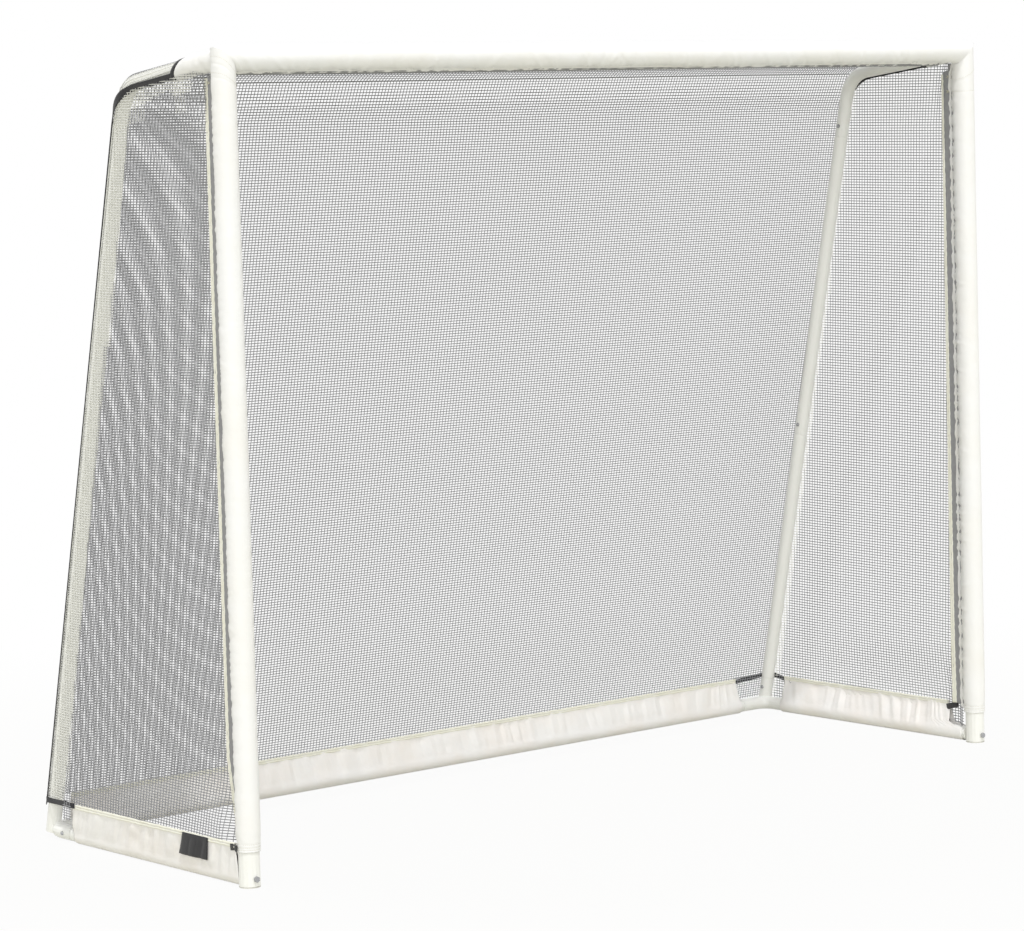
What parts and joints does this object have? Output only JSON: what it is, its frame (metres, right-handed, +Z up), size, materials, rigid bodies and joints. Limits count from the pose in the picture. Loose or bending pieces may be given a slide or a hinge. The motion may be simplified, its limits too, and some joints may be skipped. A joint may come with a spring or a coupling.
{
  "type": "soccer goal",
  "caption": "Free-standing soccer goal: a take-apart steel tube frame with snap buttons, inside a sewn net with white cloth sleeves and ground skirts.",
  "frame": {"origin": "on the ground, in the middle of the goal's bounding box", "axes": "+Z up, X along the crossbar, the open mouth faces -Y and the net slopes down towards +Y"},
  "size_m": [2.0008, 0.6937, 1.5234],
  "materials": {
    "tube": "white powder coat, satin",
    "zinc": "bright zinc plate",
    "cloth": "white coated cloth, slightly glossy, gathered",
    "net": "dark grey knotless fine-mesh net",
    "webbing": "black woven webbing",
    "plastic": "white moulded plastic"
  },
  "bodies": {
    "frame": {"arm_cuff_left": "cloth", "arm_cuff_right": "cloth", "back_bar_tube_left": "tube", "back_bar_tube_right": "tube", "back_net": "net", "back_skirt": "cloth", "corner_strap_left": "webbing", "corner_strap_right": "webbing", "crossbar_sleeve": "cloth", "crossbar_tube_left": "tube", "crossbar_tube_right": "tube", "foot_bolt_left": "zinc", "foot_bolt_right": "zinc", "foot_plug_left": "plastic", "foot_plug_right": "plastic", "post_lower_left": "tube", "post_lower_right": "tube", "post_sleeve_left": "cloth", "post_sleeve_right": "cloth", "post_upper_left": "tube", "post_upper_right": "tube", "rear_corner_left": "tube", "rear_corner_right": "tube", "roof_net": "net", "seam_tape_left": "webbing", "seam_tape_right": "webbing", "side_net_left": "net", "side_net_right": "net", "side_skirt_left": "cloth", "side_skirt_right": "cloth", "side_tube_left": "tube", "side_tube_right": "tube", "stay_lower_left": "tube", "stay_lower_right": "tube", "stay_upper_left": "tube", "stay_upper_right": "tube", "top_arm_left": "tube", "top_arm_right": "tube", "top_corner_left": "tube", "top_corner_right": "tube"},
    "button_crossbar_middle": {"button_crossbar_middle": "zinc"},
    "button_back_bar_middle": {"button_back_bar_middle": "zinc"},
    "button_crossbar_left": {"button_crossbar_left": "zinc"},
    "button_post_top_left": {"button_post_top_left": "zinc"},
    "button_post_middle_left": {"button_post_middle_left": "zinc"},
    "button_arm_left": {"button_arm_left": "zinc"},
    "button_stay_top_left": {"button_stay_top_left": "zinc"},
    "button_stay_middle_left": {"button_stay_middle_left": "zinc"},
    "button_stay_foot_left": {"button_stay_foot_left": "zinc"},
    "button_side_tube_left": {"button_side_tube_left": "zinc"},
    "button_back_bar_left": {"button_back_bar_left": "zinc"},
    "button_crossbar_right": {"button_crossbar_right": "zinc"},
    "button_post_top_right": {"button_post_top_right": "zinc"},
    "button_post_middle_right": {"button_post_middle_right": "zinc"},
    "button_arm_right": {"button_arm_right": "zinc"},
    "button_stay_top_right": {"button_stay_top_right": "zinc"},
    "button_stay_middle_right": {"button_stay_middle_right": "zinc"},
    "button_stay_foot_right": {"button_stay_foot_right": "zinc"},
    "button_side_tube_right": {"button_side_tube_right": "zinc"},
    "button_back_bar_right": {"button_back_bar_right": "zinc"}
  },
  "joints": [
    {"name": "press_crossbar_middle", "type": "slide", "parent": "frame", "child": "button_crossbar_middle", "axis": [0, -1, 0], "range_m": [0, 0.004], "stiffness_N_per_m": 800, "springref_m": -0.006},
    {"name": "press_back_bar_middle", "type": "slide", "parent": "frame", "child": "button_back_bar_middle", "axis": [0, 0, -1], "range_m": [0, 0.0045], "stiffness_N_per_m": 800, "springref_m": -0.006},
    {"name": "press_crossbar_left", "type": "slide", "parent": "frame", "child": "button_crossbar_left", "axis": [0, -1, 0], "range_m": [0, 0.004], "stiffness_N_per_m": 800, "springref_m": -0.006},
    {"name": "press_post_top_left", "type": "slide", "parent": "frame", "child": "button_post_top_left", "axis": [0, -1, 0], "range_m": [0, 0.004], "stiffness_N_per_m": 800, "springref_m": -0.006},
    {"name": "press_post_middle_left", "type": "slide", "parent": "frame", "child": "button_post_middle_left", "axis": [0, -1, 0], "range_m": [0, 0.004], "stiffness_N_per_m": 800, "springref_m": -0.006},
    {"name": "press_arm_left", "type": "slide", "parent": "frame", "child": "button_arm_left", "axis": [-0.9995, 0.0301, -0.0037], "range_m": [0, 0.0045], "stiffness_N_per_m": 800, "springref_m": -0.006},
    {"name": "press_stay_top_left", "type": "slide", "parent": "frame", "child": "button_stay_top_left", "axis": [-1, -0.0015, 0.0066], "range_m": [0, 0.0045], "stiffness_N_per_m": 800, "springref_m": -0.006},
    {"name": "press_stay_middle_left", "type": "slide", "parent": "frame", "child": "button_stay_middle_left", "axis": [-1, -0.0015, 0.0066], "range_m": [0, 0.0045], "stiffness_N_per_m": 800, "springref_m": -0.006},
    {"name": "press_stay_foot_left", "type": "slide", "parent": "frame", "child": "button_stay_foot_left", "axis": [-1, -0.0015, 0.0066], "range_m": [0, 0.0045], "stiffness_N_per_m": 800, "springref_m": -0.006},
    {"name": "press_side_tube_left", "type": "slide", "parent": "frame", "child": "button_side_tube_left", "axis": [1, 0, 0], "range_m": [0, 0.0045], "stiffness_N_per_m": 800, "springref_m": -0.006},
    {"name": "press_back_bar_left", "type": "slide", "parent": "frame", "child": "button_back_bar_left", "axis": [0, -1, 0], "range_m": [0, 0.0045], "stiffness_N_per_m": 800, "springref_m": -0.006},
    {"name": "press_crossbar_right", "type": "slide", "parent": "frame", "child": "button_crossbar_right", "axis": [0, -1, 0], "range_m": [0, 0.004], "stiffness_N_per_m": 800, "springref_m": -0.006},
    {"name": "press_post_top_right", "type": "slide", "parent": "frame", "child": "button_post_top_right", "axis": [0, -1, 0], "range_m": [0, 0.004], "stiffness_N_per_m": 800, "springref_m": -0.006},
    {"name": "press_post_middle_right", "type": "slide", "parent": "frame", "child": "button_post_middle_right", "axis": [0, -1, 0], "range_m": [0, 0.004], "stiffness_N_per_m": 800, "springref_m": -0.006},
    {"name": "press_arm_right", "type": "slide", "parent": "frame", "child": "button_arm_right", "axis": [0.9995, 0.0301, -0.0037], "range_m": [0, 0.0045], "stiffness_N_per_m": 800, "springref_m": -0.006},
    {"name": "press_stay_top_right", "type": "slide", "parent": "frame", "child": "button_stay_top_right", "axis": [1, -0.0015, 0.0066], "range_m": [0, 0.0045], "stiffness_N_per_m": 800, "springref_m": -0.006},
    {"name": "press_stay_middle_right", "type": "slide", "parent": "frame", "child": "button_stay_middle_right", "axis": [1, -0.0015, 0.0066], "range_m": [0, 0.0045], "stiffness_N_per_m": 800, "springref_m": -0.006},
    {"name": "press_stay_foot_right", "type": "slide", "parent": "frame", "child": "button_stay_foot_right", "axis": [1, -0.0015, 0.0066], "range_m": [0, 0.0045], "stiffness_N_per_m": 800, "springref_m": -0.006},
    {"name": "press_side_tube_right", "type": "slide", "parent": "frame", "child": "button_side_tube_right", "axis": [-1, 0, 0], "range_m": [0, 0.0045], "stiffness_N_per_m": 800, "springref_m": -0.006},
    {"name": "press_back_bar_right", "type": "slide", "parent": "frame", "child": "button_back_bar_right", "axis": [0, -1, 0], "range_m": [0, 0.0045], "stiffness_N_per_m": 800, "springref_m": -0.006}
  ]
}
